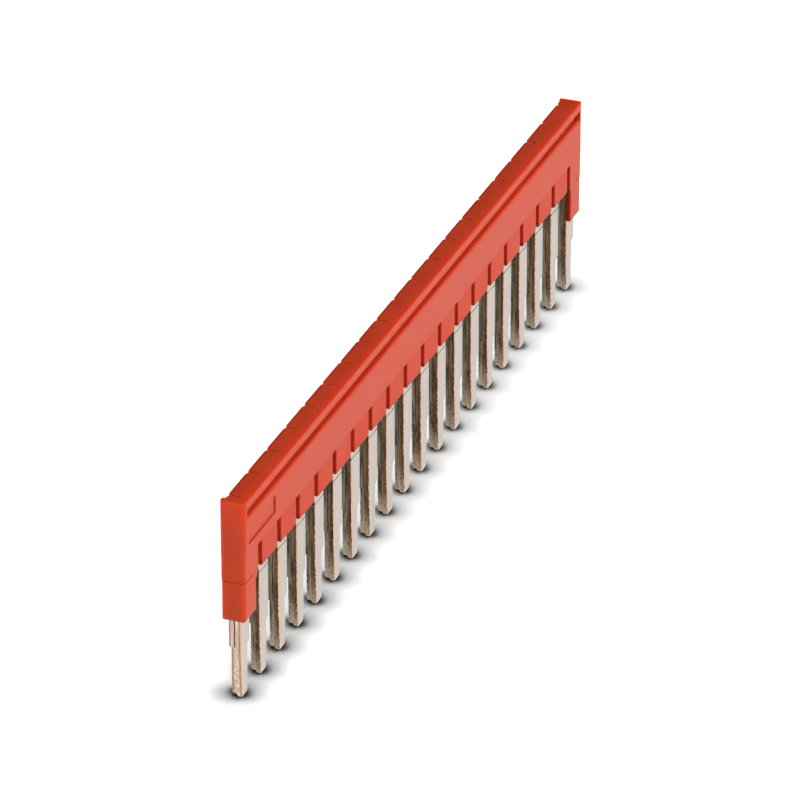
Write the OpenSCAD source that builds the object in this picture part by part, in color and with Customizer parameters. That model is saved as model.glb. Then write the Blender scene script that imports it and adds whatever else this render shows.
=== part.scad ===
// Plug-in jumper for rail terminal blocks. A slotted, moulded housing grips two identical
// stamped contact combs that lie face to face. Each pair of leaves is one plug-in leg.
// The frame stands on the leg tips: X runs along the row, the labelled face looks to -Y.

/* [Row] */
// Number of contact legs in the row
positions = 20; // [3:1:30]
// Distance from one leg to the next
pitch = 5.2; // [4.6:0.1:8]
// Distance from the middle of an outer leg to the end of the housing
end_margin = 1.65; // [1.6:0.05:2.5]

/* [Heights] */
// Height of the tooth undersides above the leg tips
leg_reach = 13.2; // [12.6:0.1:18]
// Height of the slots between the teeth
slot_h = 3.25; // [1.2:0.05:5]
// Height of the crown, from the slot tops to the end caps' tops
crown_h = 6.25; // [6:0.05:9]
// How far the end tabs reach below the teeth
tab_drop = 4.25; // [1:0.05:6]

/* [Housing] */
// Thickness of the housing, front to rear
housing_t = 2.8; // [2.6:0.1:4]
// Width of the slots between the teeth
slot_w = 1.1; // [0.6:0.05:1.5]
// Radius of the crown's upright corners
corner_r = 0.6; // [0.1:0.05:0.8]
// Radius of the upright corners below the crown
low_corner_r = 0.4; // [0.1:0.05:0.6]
// Radius of the end caps' top edges
edge_r = 0.25; // [0.05:0.05:0.4]
// Radius of the teeth's lower corners
tooth_r = 0.4; // [0.1:0.05:0.7]
// Height of the bevel along the teeth's lower edges
tooth_bevel_h = 0.2; // [0.05:0.05:0.4]
// Width of the bevel along the teeth's lower edges
tooth_bevel_w = 0.3; // [0.05:0.05:0.4]
// How far the teeth's faces step back below the crown
tooth_setback = 0.06; // [0:0.01:0.1]
// How much narrower an end tab is than the tooth over it
tab_step = 0.35; // [0.05:0.05:0.4]
// Height of the slope between an end tab and its tooth
tab_step_h = 0.8; // [0.2:0.1:1.2]
// Radius of the end tabs' inner upright corners
tab_inner_r = 0.35; // [0.1:0.05:0.5]
// Bevel at the inner bottom corner of an end tab
tab_bevel = 0.3; // [0.1:0.05:0.5]
// Radius of the end tabs' bottom edges
tab_r = 0.4; // [0.1:0.05:0.5]
// How far the end tabs' faces step back below the crown
tab_setback = 0.1; // [0:0.01:0.12]

/* [Grip] */
// Thickness of the end caps that close the grip groove
cap_t = 0.72; // [0.4:0.02:1.2]
// How far the crown's top lies below the end caps' tops
crown_drop = 0.1; // [0:0.02:0.3]
// Height of the lip above the grip groove
lip_h = 0.82; // [0.7:0.02:1.2]
// Radius of the crown's top edges
lip_r = 0.2; // [0.05:0.05:0.4]
// Height of the grip groove between its floor and the lip
groove_h = 1.1; // [0.7:0.05:1.3]
// Depth of the grip groove
groove_d = 0.6; // [0.2:0.05:0.7]
// Radius of the groove's lower edge
groove_r = 0.35; // [0.05:0.05:0.4]
// Depth of the shallow recess along the crown's rear side
rear_step_d = 0.28; // [0.05:0.01:0.5]
// Thickness of the first end cap beside the rear recess
rear_cap_t = 0.4; // [0.2:0.02:0.6]
// Length of the slope from the first end cap into the rear recess
rear_ramp_l = 0.7; // [0.1:0.05:0.7]

/* [Marks] */
// Width of the position notch behind each leg
notch_w = 1; // [0.7:0.05:1.1]
// Depth of the position notches, inwards from the rear recess
notch_d = 0.24; // [0.1:0.02:0.4]
// Run of the position notches' slanted sides
notch_slope = 0.25; // [0.05:0.05:0.3]
// Height of the position notches, down from the crown's top
notch_h = 1.2; // [0.6:0.1:2]
// Width of the position line on the top over each leg
tick_w = 0.22; // [0.1:0.02:0.4]
// Depth of the position lines
tick_d = 0.12; // [0.04:0.02:0.24]
// Length of the position lines, inwards from the rear recess
tick_l = 1.35; // [0.6:0.05:1.6]
// Length of the label recess
panel_l = 7.4; // [3:0.1:8]
// Height of the label recess
panel_h = 2.05; // [1:0.05:2.5]
// Depth of the label recess
panel_d = 0.15; // [0.05:0.01:0.25]
// Radius of the label recess's corners
panel_r = 0.25; // [0.05:0.05:0.4]
// Distance from the end of the housing to the label recess
panel_margin = 1.05; // [0.8:0.05:3]
// Distance from the slot tops up to the label recess
panel_lift = 1.15; // [0.4:0.05:1.5]
// Height of the end tabs' score line above the tooth undersides
score_lift = 0.35; // [0.1:0.05:1]
// Width of the score line
score_w = 0.18; // [0.05:0.01:0.3]
// Depth of the score line
score_d = 0.18; // [0.14:0.01:0.22]
// Length of the score line along the housing's side
score_l = 2.4; // [1:0.1:3.5]

/* [Contacts] */
// Thickness of the contact sheet
leaf_t = 0.58; // [0.3:0.02:0.7]
// Width of a leg above its shoulder
leg_w = 2.5; // [1.8:0.05:2.6]
// Height of the web that joins the legs
web_h = 3.4; // [1.5:0.1:3.5]
// Height of the web's lower edge above the slot tops
web_lift = 0.35; // [0.1:0.05:0.6]
// Size of the gusset where a leg leaves the web
root_gusset = 0.3; // [0.05:0.05:0.4]
// How far each leaf is set outwards below the housing
joggle = 0.06; // [0.02:0.01:0.1]
// Height of the bent stretch that sets a leaf outwards
joggle_h = 0.8; // [0.4:0.1:1.2]
// Height of the bend line above the leg tips
bend_z = 11.9; // [9.5:0.1:12]
// Width of the groove pressed along the bend line
crease_w = 0.14; // [0.05:0.01:0.3]
// Depth of the groove pressed along the bend line
crease_d = 0.1; // [0.02:0.01:0.15]

/* [Leg tips] */
// Height of the shoulder's upper edge above the tips
shoulder_z = 5.9; // [3:0.1:8]
// Height of the shoulder's slope
shoulder_h = 0.4; // [0.1:0.05:1]
// Width of the shoulder
shoulder_w = 0.65; // [0.2:0.05:0.9]
// Narrowing of the straight side, from the shoulder's level to the tip
straight_taper = 0.3; // [0:0.05:0.4]
// Narrowing of the shouldered side below its shoulder
shouldered_taper = 0.1; // [0:0.05:0.3]
// Bevel at the corners of a tip
tip_bevel = 0.2; // [0.05:0.05:0.3]
// Height of the tip's thinning across the sheet
tip_lead_h = 0.3; // [0.1:0.05:0.8]
// Thinning of the tip on each face of the sheet
tip_lead_w = 0.1; // [0.02:0.01:0.12]

/* [Fits] */
// Clearance between the combs and the housing
fit_gap = 0.03; // [0.01:0.01:0.1]

/* [Hidden] */

$fn = 48;
housing_red = [0.80, 0.20, 0.13];
tin_grey = [0.80, 0.77, 0.72];
// Amount by which a cutting shape passes the surface that it opens
overcut = 1;

row_l = (positions - 1) * pitch;
housing_l = row_l + 2 * end_margin;
tooth_w = pitch - slot_w;

tooth_z = leg_reach;
slot_z = tooth_z + slot_h;
top_z = slot_z + crown_h;
tab_z = tooth_z - tab_drop;
score_z = tooth_z + score_lift;
crown_z = top_z - crown_drop;
lip_z = crown_z - lip_h;
groove_z = lip_z - groove_h;
recess_z = groove_z - groove_r;
web_z = slot_z + web_lift;
web_top_z = web_z + web_h;

front_y = -housing_t / 2;
rear_y = housing_t / 2;
crown_rear_y = rear_y - rear_step_d;
crown_l = housing_l - 2 * cap_t;
tab_inner_x = tooth_w / 2 - tab_step;
tab_step_z = tooth_z - tab_step_h / 2;
web_half_l = row_l / 2 + leg_w / 2;

function leg_x(k) = (k - (positions - 1) / 2) * pitch;

// Sweeps an outline drawn in X and Z through a thickness in Y, centred on Y = 0.
module sweep_y(thickness) {
    rotate([90, 0, 0])
        linear_extrude(thickness, center = true)
            children();
}

// Sweeps an outline drawn in Y and Z through a length in X, centred on X = 0.
module sweep_x(length) {
    rotate([90, 0, 90])
        linear_extrude(length, center = true)
            children();
}

// A rectangle with round corners, from its lower left corner.
module round_rect(size, r) {
    translate([r, 0])
        square([size.x - 2 * r, size.y]);
    translate([0, r])
        square([size.x, size.y - 2 * r]);
    for (x = [r, size.x - r], y = [r, size.y - r])
        translate([x, y])
            circle(r);
}

// One storey of the housing in plan, stepped back all round.
module plan_storey(z0, z1, setback, r) {
    length = housing_l - 2 * setback;
    thickness = housing_t - 2 * setback;
    translate([-length / 2, -thickness / 2, z0])
        linear_extrude(z1 - z0)
            round_rect([length, thickness], r);
}

// One tooth in front view, round at its lower corners.
module tooth_outline() {
    translate([-tooth_w / 2, tooth_z])
        round_rect([tooth_w, slot_h + tooth_r], tooth_r);
}

// The left end tooth and its tab in front view. The tab hangs round an outer leg.
module tab_outline() {
    outer_x = tab_setback - end_margin;
    polygon([
        [-end_margin, slot_z + tooth_r],
        [-end_margin, score_z],
        [outer_x, score_z],
        [outer_x, tab_z + tab_r],
        [outer_x + tab_r, tab_z],
        [tab_inner_x - tab_bevel, tab_z],
        [tab_inner_x, tab_z + tab_bevel],
        [tab_inner_x, tab_step_z],
        [tooth_w / 2, tab_step_z + tab_step_h],
        [tooth_w / 2, slot_z + tooth_r]
    ]);
    translate([outer_x + tab_r, tab_z + tab_r])
        circle(tab_r);
}

module housing_outline() {
    translate([-housing_l / 2, slot_z]) {
        square([housing_l, crown_h - edge_r]);
        round_rect([housing_l, crown_h], edge_r);
    }
    for (k = [1 : positions - 2])
        translate([leg_x(k), 0])
            tooth_outline();
    for (side = [0, 1])
        mirror([side, 0])
            translate([leg_x(0), 0])
                tab_outline();
}

// The housing's section in Y and Z, round at the tab bottoms and at the end caps' tops.
module housing_section() {
    translate([front_y + tab_setback, tab_z])
        round_rect([housing_t - 2 * tab_setback, slot_z - tab_z], tab_r);
    translate([front_y, score_z])
        square([housing_t, slot_z - score_z]);
    translate([front_y, slot_z - edge_r])
        round_rect([housing_t, crown_h + edge_r], edge_r);
}

module housing_envelope() {
    intersection() {
        union() {
            plan_storey(tab_z, score_z, tab_setback, low_corner_r);
            plan_storey(score_z, slot_z, tooth_setback, low_corner_r);
            plan_storey(slot_z, top_z, 0, corner_r);
        }
        sweep_y(housing_t)
            housing_outline();
        sweep_x(housing_l)
            housing_section();
    }
}

// What is taken off between the end caps: a skim off the top, which leaves round edges,
// and the grip groove under the front lip, round at its lower edge.
module grip_cut_section() {
    floor_r = min(groove_r, groove_d);
    difference() {
        translate([front_y - overcut, lip_z])
            square([housing_t + 2 * overcut, top_z - lip_z + overcut]);
        translate([front_y, lip_z - 2 * lip_r])
            round_rect([crown_rear_y - front_y, lip_h + 2 * lip_r], lip_r);
    }
    translate([front_y - overcut, groove_z])
        square([groove_d + overcut, groove_h]);
    difference() {
        translate([front_y - overcut, groove_z - floor_r])
            square([floor_r + overcut, floor_r]);
        translate([front_y + floor_r, groove_z - floor_r])
            circle(floor_r);
    }
}

// The shallow recess along the crown's rear side. It slopes in from the first end cap
// and runs out through the other end.
module rear_recess() {
    cap_x = -housing_l / 2 + rear_cap_t;
    end_x = housing_l / 2 + overcut;
    translate([0, 0, recess_z])
        linear_extrude(top_z - recess_z + overcut)
            polygon([
                [cap_x, rear_y + overcut],
                [cap_x, rear_y],
                [cap_x + rear_ramp_l, crown_rear_y],
                [end_x, crown_rear_y],
                [end_x, rear_y + overcut]
            ]);
}

// The bevel along the lower front and rear edges of the teeth, between the end tabs.
module tooth_bevels() {
    for (side = [0, 1])
        mirror([0, side, 0])
            sweep_x(row_l - pitch)
                polygon([
                    [front_y - overcut, tooth_z - overcut],
                    [front_y + tooth_setback + tooth_bevel_w, tooth_z - overcut],
                    [front_y + tooth_setback + tooth_bevel_w, tooth_z],
                    [front_y + tooth_setback, tooth_z + tooth_bevel_h],
                    [front_y - overcut, tooth_z + tooth_bevel_h]
                ]);
}

// Rounds the upright edges on the inner side of the end tabs.
module tab_inner_rounds() {
    for (end = [0, 1], side = [0, 1])
        mirror([end, 0, 0])
            mirror([0, side, 0])
                translate([leg_x(0) + tab_inner_x - tab_inner_r, front_y + tab_setback + tab_inner_r, 0])
                    translate([0, 0, tab_z - overcut])
                        linear_extrude(tab_step_z - tab_z + overcut)
                            difference() {
                                translate([0, -tab_inner_r - overcut])
                                    square(tab_inner_r + overcut);
                                circle(tab_inner_r);
                            }
}

// The notch in the rear side behind each leg in plan, with slanted sides.
module notch_plan() {
    floor_x = notch_w / 2 - notch_slope;
    polygon([
        [-notch_w / 2, overcut],
        [-notch_w / 2, 0],
        [-floor_x, -notch_d],
        [floor_x, -notch_d],
        [notch_w / 2, 0],
        [notch_w / 2, overcut]
    ]);
}

// The notches and the fine line that runs from each of them over the top.
module position_marks() {
    for (k = [0 : positions - 1])
        translate([leg_x(k), crown_rear_y, crown_z]) {
            translate([0, 0, -notch_h])
                linear_extrude(notch_h + overcut)
                    notch_plan();
            translate([-tick_w / 2, -tick_l, -tick_d])
                cube([tick_w, tick_l + overcut, tick_d + overcut]);
        }
}

module label_recess() {
    translate([-housing_l / 2 + panel_margin, front_y + panel_d, slot_z + panel_lift])
        rotate([90, 0, 0])
            linear_extrude(panel_d + overcut)
                round_rect([panel_l, panel_h], panel_r);
}

// The fine line round each end of the housing at the head of its tab.
module score_lines() {
    for (side = [0, 1])
        mirror([side, 0, 0])
            difference() {
                translate([-housing_l / 2 - overcut, front_y - overcut, score_z - score_w / 2])
                    cube([score_l + overcut, housing_t + 2 * overcut, score_w]);
                plan_storey(score_z - score_w, score_z + score_w, score_d, low_corner_r);
            }
}

// The channel that takes the combs from below: close round the web, wider round the legs.
module comb_channel() {
    channel_l = 2 * (web_half_l + fit_gap);
    web_room = 2 * (leaf_t + fit_gap);
    leg_room = web_room + 2 * joggle;
    translate([-channel_l / 2, -web_room / 2, slot_z - overcut])
        cube([channel_l, web_room, web_top_z + fit_gap - slot_z + overcut]);
    translate([-channel_l / 2, -leg_room / 2, tab_z - overcut])
        cube([channel_l, leg_room, slot_z - tab_z + overcut]);
}

module housing() {
    color(housing_red)
        difference() {
            housing_envelope();
            sweep_x(crown_l)
                grip_cut_section();
            rear_recess();
            tooth_bevels();
            tab_inner_rounds();
            position_marks();
            label_recess();
            score_lines();
            comb_channel();
        }
}

// One leaf in front view: straight on its left side, shouldered on its right side.
module leaf_outline() {
    half_w = leg_w / 2;
    foot_z = shoulder_z - shoulder_h;
    step_x = half_w - shoulder_w;
    left_tip = -half_w + straight_taper;
    right_tip = step_x - shouldered_taper;
    polygon([
        [-half_w - root_gusset, web_z],
        [-half_w, web_z - root_gusset],
        [-half_w, foot_z],
        [left_tip, tip_bevel],
        [left_tip + tip_bevel, 0],
        [right_tip - tip_bevel, 0],
        [right_tip, tip_bevel],
        [step_x, foot_z],
        [half_w, shoulder_z],
        [half_w, web_z - root_gusset],
        [half_w + root_gusset, web_z]
    ]);
}

module comb_outline() {
    translate([-web_half_l, web_z])
        square([2 * web_half_l, web_h]);
    intersection() {
        for (k = [0 : positions - 1])
            translate([leg_x(k), 0])
                leaf_outline();
        translate([-web_half_l, 0])
            square([2 * web_half_l, web_top_z]);
    }
}

// The front comb's section in Y and Z. The web lies against Y = 0, the leaf is set outwards
// below the bend line, and the tip is thinned on both faces.
module comb_section() {
    bend_top_z = bend_z + joggle_h;
    inner_y = -joggle;
    outer_y = -joggle - leaf_t;
    crease_top_y = outer_y + joggle * crease_w / 2 / joggle_h;
    polygon([
        [0, web_top_z],
        [0, bend_top_z],
        [inner_y, bend_z],
        [inner_y, tip_lead_h],
        [inner_y - tip_lead_w, 0],
        [outer_y + tip_lead_w, 0],
        [outer_y, tip_lead_h],
        [outer_y, bend_z - crease_w / 2],
        [outer_y + crease_d, bend_z],
        [crease_top_y, bend_z + crease_w / 2],
        [-leaf_t, bend_top_z],
        [-leaf_t, web_top_z]
    ]);
}

module contact_comb() {
    color(tin_grey)
        intersection() {
            sweep_y(2 * housing_t)
                comb_outline();
            sweep_x(housing_l)
                comb_section();
        }
}

module front_contact_comb() {
    contact_comb();
}

module rear_contact_comb() {
    rotate([0, 0, 180])
        contact_comb();
}

housing();
front_contact_comb();
rear_contact_comb();
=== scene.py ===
"""Looks of a terminal block jumper: a red moulded housing on tinned copper legs, on a white table."""
import math

import bpy
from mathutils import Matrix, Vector


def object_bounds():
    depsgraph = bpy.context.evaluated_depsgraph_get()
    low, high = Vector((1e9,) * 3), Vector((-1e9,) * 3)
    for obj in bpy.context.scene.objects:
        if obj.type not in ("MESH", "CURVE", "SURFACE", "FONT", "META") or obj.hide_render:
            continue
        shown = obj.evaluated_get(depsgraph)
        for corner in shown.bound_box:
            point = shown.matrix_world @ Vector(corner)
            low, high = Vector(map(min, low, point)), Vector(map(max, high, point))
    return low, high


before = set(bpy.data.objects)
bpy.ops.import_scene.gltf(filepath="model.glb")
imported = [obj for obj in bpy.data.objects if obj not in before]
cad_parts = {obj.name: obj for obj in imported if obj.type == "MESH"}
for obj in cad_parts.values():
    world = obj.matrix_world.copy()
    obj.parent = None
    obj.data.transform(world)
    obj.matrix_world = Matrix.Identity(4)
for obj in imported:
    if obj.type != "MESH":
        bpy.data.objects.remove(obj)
cad_low, cad_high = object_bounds()

MM = 0.001

# Places on the part: x along the row, y from the front to the rear, z above the leg tips
PITCH = 5.2 * MM
POSITIONS = 20
OUTER_SLOT_X = (POSITIONS / 2 - 1) * PITCH
INSIDE_CAPS_X = cad_high[0] - 1.05 * MM
TOP_Z = cad_high[2]
SLOT_SIDES_TOP_Z = 19.0 * MM
SLOT_TOP_Z = 16.45 * MM
TOOTH_Z = 13.2 * MM
BEND_Z = 11.9 * MM
LEG_HALF_T = 0.64 * MM

# View of the object: angles in degrees, lengths in metres
VIEW_AZIMUTH = -69.38
VIEW_ELEVATION = 27.40
VIEW_DISTANCE = 0.7364
LENS_MM = 310.66
LOOK_AT_HEIGHT = 11.0 * MM
LOOK_OFFSET_RIGHT = -1.153 * MM
LOOK_OFFSET_UP = -1.364 * MM
CLIP_NEAR = 0.01
CLIP_FAR = 20.0


def direction(azimuth, elevation):
    """Unit vector from the object towards a viewer or lamp at these angles in degrees."""
    a = math.radians(azimuth)
    e = math.radians(elevation)
    return Vector((math.sin(a) * math.cos(e), -math.cos(a) * math.cos(e), math.sin(e)))


def add_camera():
    back = direction(VIEW_AZIMUTH, VIEW_ELEVATION)
    right = Vector((0, 0, 1)).cross(back).normalized()
    up = back.cross(right)
    target = Vector((0, 0, LOOK_AT_HEIGHT)) + right * LOOK_OFFSET_RIGHT + up * LOOK_OFFSET_UP
    data = bpy.data.cameras.new("view")
    data.lens = LENS_MM
    data.clip_start = CLIP_NEAR
    data.clip_end = CLIP_FAR
    camera = bpy.data.objects.new("view", data)
    camera.location = target + back * VIEW_DISTANCE
    camera.rotation_euler = (-back).to_track_quat("-Z", "Y").to_euler()
    bpy.context.scene.collection.objects.link(camera)
    bpy.context.scene.camera = camera


# Materials: colours are linear RGB with alpha. A pair of numbers is where a ramp starts and ends.

# Stretches of a noise that are spread over a whole ramp, from gentle to crisp
GENTLE = (0.3, 0.7)
MEDIUM = (0.35, 0.65)
FIRM = (0.36, 0.64)
CRISP = (0.42, 0.58)
CRISPEST = (0.48, 0.56)

WHITE = (1, 1, 1, 1)


class Nodes:
    """A short way to write a material's node tree."""

    def __init__(self, name):
        self.material = bpy.data.materials.new(name)
        self.material.use_nodes = True
        self.tree = self.material.node_tree
        self.tree.nodes.clear()
        self.output = self.add("ShaderNodeOutputMaterial")

    def add(self, kind, inputs=None, **settings):
        node = self.tree.nodes.new(kind)
        for key, value in settings.items():
            setattr(node, key, value)
        for key, value in (inputs or {}).items():
            if isinstance(value, bpy.types.NodeSocket):
                self.tree.links.new(value, node.inputs[key])
            else:
                node.inputs[key].default_value = value
        return node

    def place(self):
        return self.add("ShaderNodeTexCoord").outputs["Object"]

    def facing(self):
        return self.add("ShaderNodeNewGeometry").outputs["True Normal"]

    def axes(self, vector):
        """The x, y and z of a vector."""
        return self.add("ShaderNodeSeparateXYZ", {0: vector}).outputs

    def math(self, operation, a, b=0.0, c=0.0):
        return self.add("ShaderNodeMath", {0: a, 1: b, 2: c}, operation=operation).outputs[0]

    def times(self, a, b):
        return self.math("MULTIPLY", a, b)

    def plus(self, a, b):
        return self.math("ADD", a, b)

    def minus(self, a, b):
        return self.math("SUBTRACT", a, b)

    def unsigned(self, value):
        return self.math("ABSOLUTE", value)

    def ramp(self, value, start, end, at_start=0.0, at_end=1.0):
        """Runs evenly from one result to another while the value goes from start to end."""
        inputs = {0: value, 1: start, 2: end, 3: at_start, 4: at_end}
        return self.add("ShaderNodeMapRange", inputs).outputs[0]

    def mix(self, factor, a, b):
        return self.add("ShaderNodeMix", {0: factor, 6: a, 7: b}, data_type="RGBA").outputs[2]

    def tint(self, base, colour, mask, share=1.0):
        """The base with a colour laid over it where the mask says, at most by the share."""
        return self.mix(self.times(mask, share), base, colour)

    def noise(self, vector, scale, detail=2.0, roughness=0.5):
        inputs = {"Vector": vector, "Scale": scale, "Detail": detail, "Roughness": roughness}
        return self.add("ShaderNodeTexNoise", inputs).outputs["Fac"]

    def stretched(self, vector, scale):
        return self.add("ShaderNodeVectorMath", {0: vector, 1: scale}, operation="MULTIPLY").outputs[0]

    def openness(self, within, samples=4):
        """1 in the open, and less where something stands within that distance."""
        return self.add("ShaderNodeAmbientOcclusion", {"Distance": within}, samples=samples).outputs["AO"]

    def bump(self, height, strength, distance, normal=None):
        inputs = {"Height": height, "Strength": strength, "Distance": distance}
        if normal is not None:
            inputs["Normal"] = normal
        return self.add("ShaderNodeBump", inputs).outputs[0]

    def surface(self, shader):
        self.tree.links.new(shader.outputs[0], self.output.inputs["Surface"])
        return self.material


# Housing
RED_DEEP = (0.59, 0.048, 0.009, 1)
RED_PALE = (0.65, 0.058, 0.012, 1)
TOOTH_RED = (0.64, 0.032, 0.002, 1)
# Painted highlight on the lip, painted shade on the rear edge, slot and tab sides and grooves
LIP_HIGHLIGHT_RED = (0.78, 0.052, 0.009, 1)
REAR_EDGE_SHADE_RED = (0.10, 0.005, 0.003, 1)
SLOT_SIDE_SHADE_RED = (0.26, 0.010, 0.002, 1)
TAB_SIDE_SHADE_RED = (0.10, 0.004, 0.001, 1)
GROOVE_SHADE_RED = (0.16, 0.006, 0.001, 1)
FLAT_ON = (0.6, 0.8)
TOOTH_TOP_Z = (SLOT_TOP_Z + 0.15 * MM, SLOT_TOP_Z - 0.15 * MM)
TOOTH_FOOT_Z = (TOOTH_Z, TOOTH_Z + 0.3 * MM)
TAB_SIDE_SHADE_Z = (TOOTH_Z + 1.0 * MM, TOOTH_Z - 0.2 * MM)
TOP_FACE_Z = (TOP_Z - 0.4 * MM, TOP_Z - 0.2 * MM)
LIP_HIGHLIGHT_Y = (0.1 * MM, -1.1 * MM)
REAR_EDGE_SHADE_Y = (0.72 * MM, 1.04 * MM)
GROOVE_SHADE_REACH = 0.3 * MM
GROOVE_SHADE_OPENNESS = (0.75, 0.25)
GROOVE_SHADE_SHARE = 0.32
TOP_GROOVE_SHADE_SHARE = 0.58
PLASTIC_ROUGHNESS = (0.40, 0.48)
TOOTH_EXTRA_ROUGHNESS = 0.06
GRAIN_HEIGHT = 0.004 * MM


def housing_plastic():
    """Red moulded polyamide: satin, a little see-through, with a fine grain and faint cloudiness."""
    n = Nodes("red_polyamide")
    place = n.place()
    x, y, z = n.axes(place)
    facing_x, facing_y, _ = n.axes(n.facing())
    along_row = n.ramp(n.unsigned(facing_x), *FLAT_ON)
    across_row = n.ramp(n.unsigned(facing_y), *FLAT_ON)
    between_caps = n.math("LESS_THAN", n.unsigned(x), INSIDE_CAPS_X)
    cloud = n.noise(place, scale=180.0, detail=3.0)
    grain = n.noise(place, scale=9000.0)
    red = n.mix(n.ramp(cloud, *GENTLE), RED_DEEP, RED_PALE)
    # The faces of the teeth between the end tabs are a little deeper in colour and rougher.
    between_tabs = n.math("LESS_THAN", n.unsigned(x), OUTER_SLOT_X)
    level = n.times(n.ramp(z, *TOOTH_TOP_Z), n.ramp(z, *TOOTH_FOOT_Z))
    teeth = n.times(n.times(level, between_tabs), across_row)
    red = n.tint(red, TOOTH_RED, teeth, share=0.7)
    # On the top, a painted highlight makes the front lip a brighter red, and painted shade the rear edge
    # dark.
    top = n.ramp(z, *TOP_FACE_Z)
    red = n.tint(red, LIP_HIGHLIGHT_RED, n.times(top, n.ramp(y, *LIP_HIGHLIGHT_Y)), share=0.58)
    rear_edge_shade = n.times(n.times(top, n.ramp(y, *REAR_EDGE_SHADE_Y)), between_caps)
    red = n.tint(red, REAR_EDGE_SHADE_RED, rear_edge_shade, share=0.9)
    # Painted shade darkens the sides of the slots, and most those of the end tabs below the teeth.
    below_crown = n.math("LESS_THAN", z, SLOT_SIDES_TOP_Z)
    shaded_slot_sides = n.times(along_row, n.times(between_caps, below_crown))
    red = n.tint(red, SLOT_SIDE_SHADE_RED, shaded_slot_sides, share=0.35)
    red = n.tint(red, TAB_SIDE_SHADE_RED, n.times(shaded_slot_sides, n.ramp(z, *TAB_SIDE_SHADE_Z)), share=0.75)
    # Painted shade also darkens fine grooves, those on the top more than the others.
    grooves = n.ramp(n.openness(GROOVE_SHADE_REACH), *GROOVE_SHADE_OPENNESS)
    red = n.tint(red, GROOVE_SHADE_RED, n.times(grooves, n.ramp(top, 0.0, 1.0, GROOVE_SHADE_SHARE, TOP_GROOVE_SHADE_SHARE)))
    rough = n.plus(n.ramp(cloud, *GENTLE, *PLASTIC_ROUGHNESS), n.times(teeth, TOOTH_EXTRA_ROUGHNESS))
    shader = n.add("ShaderNodeBsdfPrincipled", {
        "Base Color": red, "Roughness": rough,
        "Normal": n.bump(grain, strength=0.25, distance=GRAIN_HEIGHT),
        "Subsurface Weight": 0.80, "Subsurface Radius": (1.0, 0.14, 0.06), "Subsurface Scale": 1.6 * MM,
        "IOR": 1.5, "Specular IOR Level": 0.20,
    })
    return n.surface(shader)


# Contact metal: a cut edge in painted light
PLATED_DEEP = (0.53, 0.41, 0.31, 1)
PLATED_PALE = (0.78, 0.67, 0.57, 1)
SCRATCHED_TAN = (0.36, 0.29, 0.215, 1)
COPPER_DEEP = (0.24, 0.11, 0.055, 1)
COPPER_PALE = (0.52, 0.31, 0.19, 1)
SCRATCHED_Z = (8.0 * MM, 3.0 * MM)
TORN_DEPTH = (0.34 * MM, 0.44 * MM)
TORN_WANDER = 0.45 * MM


def lit_cut_edge(n, z, depth, smear, ragged):
    """Cut edge in painted light: plating dragged over it, and bare copper where its outer part broke
    away.
    """
    plated = n.mix(smear, PLATED_DEEP, PLATED_PALE)
    # Towards the tip it is scratched down to a greyish tan.
    scratches = n.times(n.ramp(z, *SCRATCHED_Z), n.ramp(ragged, *CRISP))
    plated = n.tint(plated, SCRATCHED_TAN, scratches, share=0.9)
    copper = n.mix(n.ramp(ragged, *MEDIUM), COPPER_DEEP, COPPER_PALE)
    wander = n.times(n.minus(ragged, 0.5), TORN_WANDER)
    torn = n.ramp(n.plus(depth, wander), *TORN_DEPTH)
    return n.tint(plated, copper, torn, share=0.9)


# Contact metal: a cut edge in painted shade
OLIVE_DEEP = (0.036, 0.031, 0.021, 1)
OLIVE_PALE = (0.23, 0.20, 0.142, 1)
BROWN_DEEP = (0.075, 0.032, 0.012, 1)
BROWN_PALE = (0.21, 0.095, 0.038, 1)
TIP_TAN = (0.46, 0.37, 0.28, 1)
BURR_BRIGHT = (0.85, 0.72, 0.58, 1)
FRONT_LEAF_Y = (-0.10 * MM, -0.28 * MM)
TIP_TAN_Z = (3.2 * MM, 0.3 * MM)
TIP_TAN_SHARE = 0.62
TIP_TAN_WANDER = 0.25
BURR_DEPTH = (LEG_HALF_T - 0.07 * MM, LEG_HALF_T - 0.03 * MM)


def shaded_cut_edge(n, y, z, depth, smear, ragged):
    """Cut edge in painted shade: olive on the rear leaf and brown on the front one, in upright smears."""
    olive = n.mix(smear, OLIVE_DEEP, OLIVE_PALE)
    brown = n.mix(smear, BROWN_DEEP, BROWN_PALE)
    dull = n.mix(n.ramp(y, *FRONT_LEAF_Y), olive, brown)
    # The painted shade gives way to tan towards the tips, and a bright burr runs along the corner.
    wander = n.ramp(ragged, *MEDIUM, -TIP_TAN_WANDER, TIP_TAN_WANDER)
    tip_tan = n.plus(n.ramp(z, *TIP_TAN_Z, 0.0, TIP_TAN_SHARE), wander)
    dull = n.tint(dull, TIP_TAN, n.math("MAXIMUM", tip_tan, 0.0))
    burr = n.times(n.ramp(depth, *BURR_DEPTH), n.ramp(ragged, *CRISPEST))
    return n.tint(dull, BURR_BRIGHT, burr)


# Contact metal: a plated face
TIN_DEEP = (0.45, 0.40, 0.35, 1)
TIN_PALE = (0.55, 0.505, 0.455, 1)
TIN_CREAM = (0.55, 0.42, 0.32, 1)
TIN_GREY = (0.44, 0.42, 0.38, 1)
# The last colour is painted light for the seam between the leaves
SEAM_PAINTED_LIGHT = (0.92, 0.90, 0.88, 1)
CREAM_X = (-0.3 * MM, -1.3 * MM)
GREY_X = (0.3 * MM, 1.1 * MM)
BAND_WANDER = 0.5 * MM
SEAM_DEPTH = (0.10 * MM, 0.08 * MM)
SEAM_REACH = 0.4 * MM
SEAM_OPENNESS = (0.55, 0.30)


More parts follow.
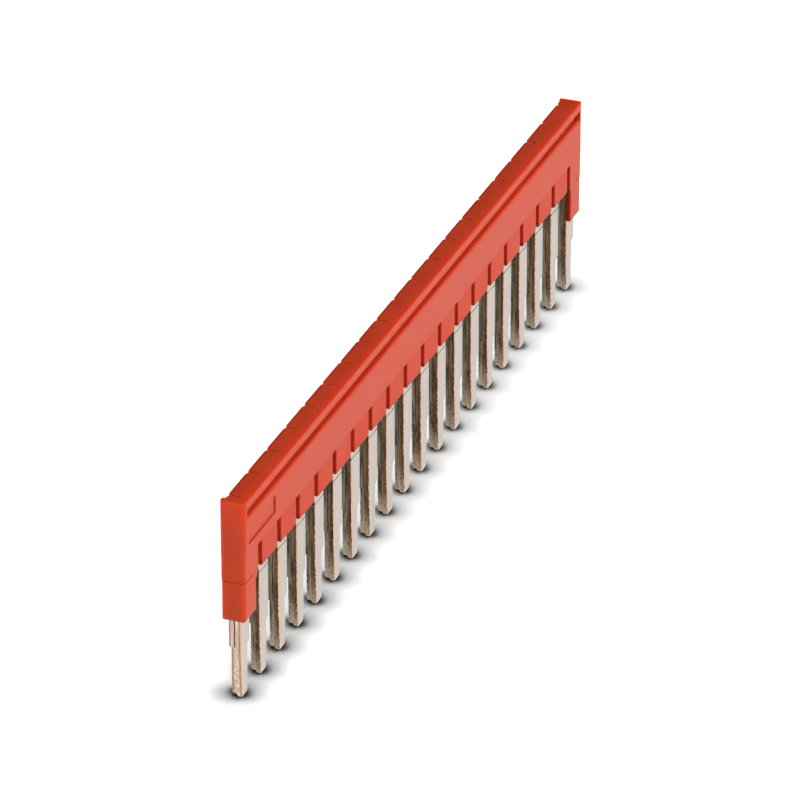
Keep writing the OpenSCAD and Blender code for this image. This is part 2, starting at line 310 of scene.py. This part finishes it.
def tin_face(n, x, depth, streaks, bands):
    """A plated face: creamier along a leg's straight side and greyer along its shouldered side."""
    tin = n.mix(n.ramp(streaks, *MEDIUM), TIN_DEEP, TIN_PALE)
    from_leg_middle = n.math("WRAP", n.minus(x, PITCH / 2), -PITCH / 2, PITCH / 2)
    across_leg = n.plus(from_leg_middle, n.ramp(bands, *GENTLE, -BAND_WANDER, BAND_WANDER))
    tin = n.tint(tin, TIN_CREAM, n.ramp(across_leg, *CREAM_X), share=0.85)
    tin = n.tint(tin, TIN_GREY, n.ramp(across_leg, *GREY_X), share=0.7)
    # Between the leaves, where the seam is closed in, the tin is painted bright: painted light.
    closed = n.ramp(n.openness(SEAM_REACH), *SEAM_OPENNESS)
    return n.tint(tin, SEAM_PAINTED_LIGHT, n.times(n.ramp(depth, *SEAM_DEPTH), closed))


# Contact metal: the whole sheet
# Painted shade along the bend
CREASE_PAINTED_SHADE = (0.03, 0.028, 0.024, 1)
CREASE_HALF_W = (0.07 * MM, 0.035 * MM)
CUT_FACING = (0.75, 0.65)
METAL_ROUGHNESS = (0.32, 0.44)
CUT_EXTRA_ROUGHNESS = 0.12
STREAK_HEIGHT = 0.01 * MM
RAGGED_HEIGHT = 0.03 * MM


def contact_metal():
    """Tin-plated copper sheet: dull silver faces with rolling streaks, and stamped edges of copper."""
    n = Nodes("tinned_copper")
    place = n.place()
    x, y, z = n.axes(place)
    facing_x, facing_y, _ = n.axes(n.facing())
    depth = n.unsigned(y)
    streaks = n.noise(n.stretched(place, (1.0, 1.0, 0.03)), scale=6000.0, detail=3.0)
    bands = n.noise(n.stretched(place, (1.0, 1.0, 0.10)), scale=900.0)
    ragged = n.noise(place, scale=4000.0, detail=4.0, roughness=0.65)
    smears = n.noise(n.stretched(place, (0.3, 1.0, 0.12)), scale=2600.0, detail=3.0)
    smear = n.ramp(smears, *FIRM)
    # The cut edges face along the row: painted shade between legs, painted light on the outermost at the
    # ends.
    cut = n.ramp(n.unsigned(facing_y), *CUT_FACING)
    outward = n.math("GREATER_THAN", n.times(x, facing_x), 0.0)
    end_leg = n.math("GREATER_THAN", n.unsigned(x), OUTER_SLOT_X)
    lit_edge = lit_cut_edge(n, z, depth, smear, ragged)
    shaded_edge = shaded_cut_edge(n, y, z, depth, smear, ragged)
    edge = n.tint(shaded_edge, lit_edge, n.times(outward, end_leg))
    colour = n.mix(cut, tin_face(n, x, depth, streaks, bands), edge)
    # The pressed line of the bend is painted dark: painted shade along the bend.
    crease = n.ramp(n.unsigned(n.minus(z, BEND_Z)), *CREASE_HALF_W)
    colour = n.tint(colour, CREASE_PAINTED_SHADE, crease, share=0.9)
    rough = n.plus(n.ramp(streaks, *GENTLE, *METAL_ROUGHNESS), n.times(cut, CUT_EXTRA_ROUGHNESS))
    rolled = n.bump(streaks, strength=0.12, distance=STREAK_HEIGHT)
    broken = n.bump(n.times(ragged, cut), strength=0.5, distance=RAGGED_HEIGHT, normal=rolled)
    shader = n.add("ShaderNodeBsdfPrincipled", {
        "Base Color": colour, "Roughness": rough, "Normal": broken, "Metallic": 1.0,
    })
    return n.surface(shader)


# Table
TABLE_WHITE = (0.80, 0.80, 0.80, 1)
TABLE_DARK = (0.02, 0.02, 0.02, 1)
TABLE_GLOW = 0.70
TIP_SHADE_REACH = 0.9 * MM
TIP_SHADE_DEPTH = 2.5
BAND_SHADE_REACH = 3.8 * MM
BAND_SHADE_DEPTH = (4.8, 2.4)
BAND_SHADE_X = (-50 * MM, 30 * MM)


def table_white():
    """White table: it glows a little to the camera and in reflections, and is darker by the legs."""
    n = Nodes("white_table")
    path = n.add("ShaderNodeLightPath")
    camera_ray = path.outputs["Is Camera Ray"]
    mirrored = n.math("MAXIMUM", path.outputs["Is Glossy Ray"], path.outputs["Is Transmission Ray"])
    seen = n.math("MAXIMUM", camera_ray, mirrored)
    # Painted shade, for the camera alone: dark at each tip, with a soft band along the row
    # that thins out towards its far end.
    x = n.axes(n.place())[0]
    tips = n.math("POWER", n.openness(TIP_SHADE_REACH), TIP_SHADE_DEPTH)
    band_depth = n.ramp(x, *BAND_SHADE_X, *BAND_SHADE_DEPTH)
    band = n.math("POWER", n.openness(BAND_SHADE_REACH, samples=8), band_depth)
    shade = n.times(n.minus(1.0, n.times(tips, band)), camera_ray)
    clear = n.minus(1.0, shade)
    diffuse = n.add("ShaderNodeBsdfDiffuse", {"Color": n.mix(clear, TABLE_DARK, TABLE_WHITE)})
    strength = n.times(n.times(seen, TABLE_GLOW), clear)
    glow = n.add("ShaderNodeEmission", {"Color": WHITE, "Strength": strength})
    return n.surface(n.add("ShaderNodeAddShader", {0: diffuse.outputs[0], 1: glow.outputs[0]}))


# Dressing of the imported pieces: lengths in metres, angles in degrees
HOUSING_EDGE = 0.06 * MM
COMB_EDGE = 0.03 * MM
EDGE_SEGMENTS = 2
SHARP_ANGLE = 28
FLAT_ANGLE = 0.5
WELD_DISTANCE = 0.0005 * MM


def round_edges(obj, width):
    """Breaks every sharp edge by a small round, as moulding and tumbling leave it."""
    weld = obj.modifiers.new("join", "WELD")
    weld.merge_threshold = WELD_DISTANCE
    flat = obj.modifiers.new("flat_faces", "DECIMATE")
    flat.decimate_type = "DISSOLVE"
    flat.angle_limit = math.radians(FLAT_ANGLE)
    bevel = obj.modifiers.new("edges", "BEVEL")
    bevel.width = width
    bevel.segments = EDGE_SEGMENTS
    bevel.limit_method = "ANGLE"
    bevel.angle_limit = math.radians(SHARP_ANGLE)
    bevel.harden_normals = True
    bevel.use_clamp_overlap = True


def dress(node, material, edge):
    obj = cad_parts[node]
    obj.data.materials.clear()
    obj.data.materials.append(material)
    round_edges(obj, edge)


# Table and light: lengths in metres
TABLE_HALF_SIZE = 3.0
LAMP_DISTANCE = 0.8
WORLD_STRENGTH = 0.15
# Name, azimuth and elevation in degrees, width and height, power in watts
LAMPS = [
    ("key", 17, 16, (1.6, 0.55), 7.5),
    ("end_fill", -90, 33, (0.8, 0.4), 4.2),
    ("back_fill", 165, 12, (0.6, 0.4), 1.6),
]


def add_floor():
    half = TABLE_HALF_SIZE
    mesh = bpy.data.meshes.new("table")
    corners = [(-half, -half, 0), (half, -half, 0), (half, half, 0), (-half, half, 0)]
    mesh.from_pydata(corners, [], [(0, 1, 2, 3)])
    table = bpy.data.objects.new("table", mesh)
    table.data.materials.append(table_white())
    bpy.context.scene.collection.objects.link(table)


def add_softbox(name, azimuth, elevation, size, power):
    data = bpy.data.lights.new(name, "AREA")
    data.shape = "RECTANGLE"
    data.size, data.size_y = size
    data.energy = power
    lamp = bpy.data.objects.new(name, data)
    towards = direction(azimuth, elevation)
    lamp.location = Vector((0, 0, LOOK_AT_HEIGHT)) + towards * LAMP_DISTANCE
    lamp.rotation_euler = (-towards).to_track_quat("-Z", "Y").to_euler()
    bpy.context.scene.collection.objects.link(lamp)


def add_light():
    world = bpy.data.worlds.new("studio")
    world.use_nodes = True
    background = world.node_tree.nodes["Background"]
    background.inputs["Color"].default_value = WHITE
    background.inputs["Strength"].default_value = WORLD_STRENGTH
    bpy.context.scene.world = world
    for lamp in LAMPS:
        add_softbox(*lamp)


add_camera()
metal = contact_metal()
dress("housing", housing_plastic(), HOUSING_EDGE)
dress("front_contact_comb", metal, COMB_EDGE)
dress("rear_contact_comb", metal, COMB_EDGE)
add_floor()
add_light()
bpy.context.scene.view_settings.view_transform = "Standard"
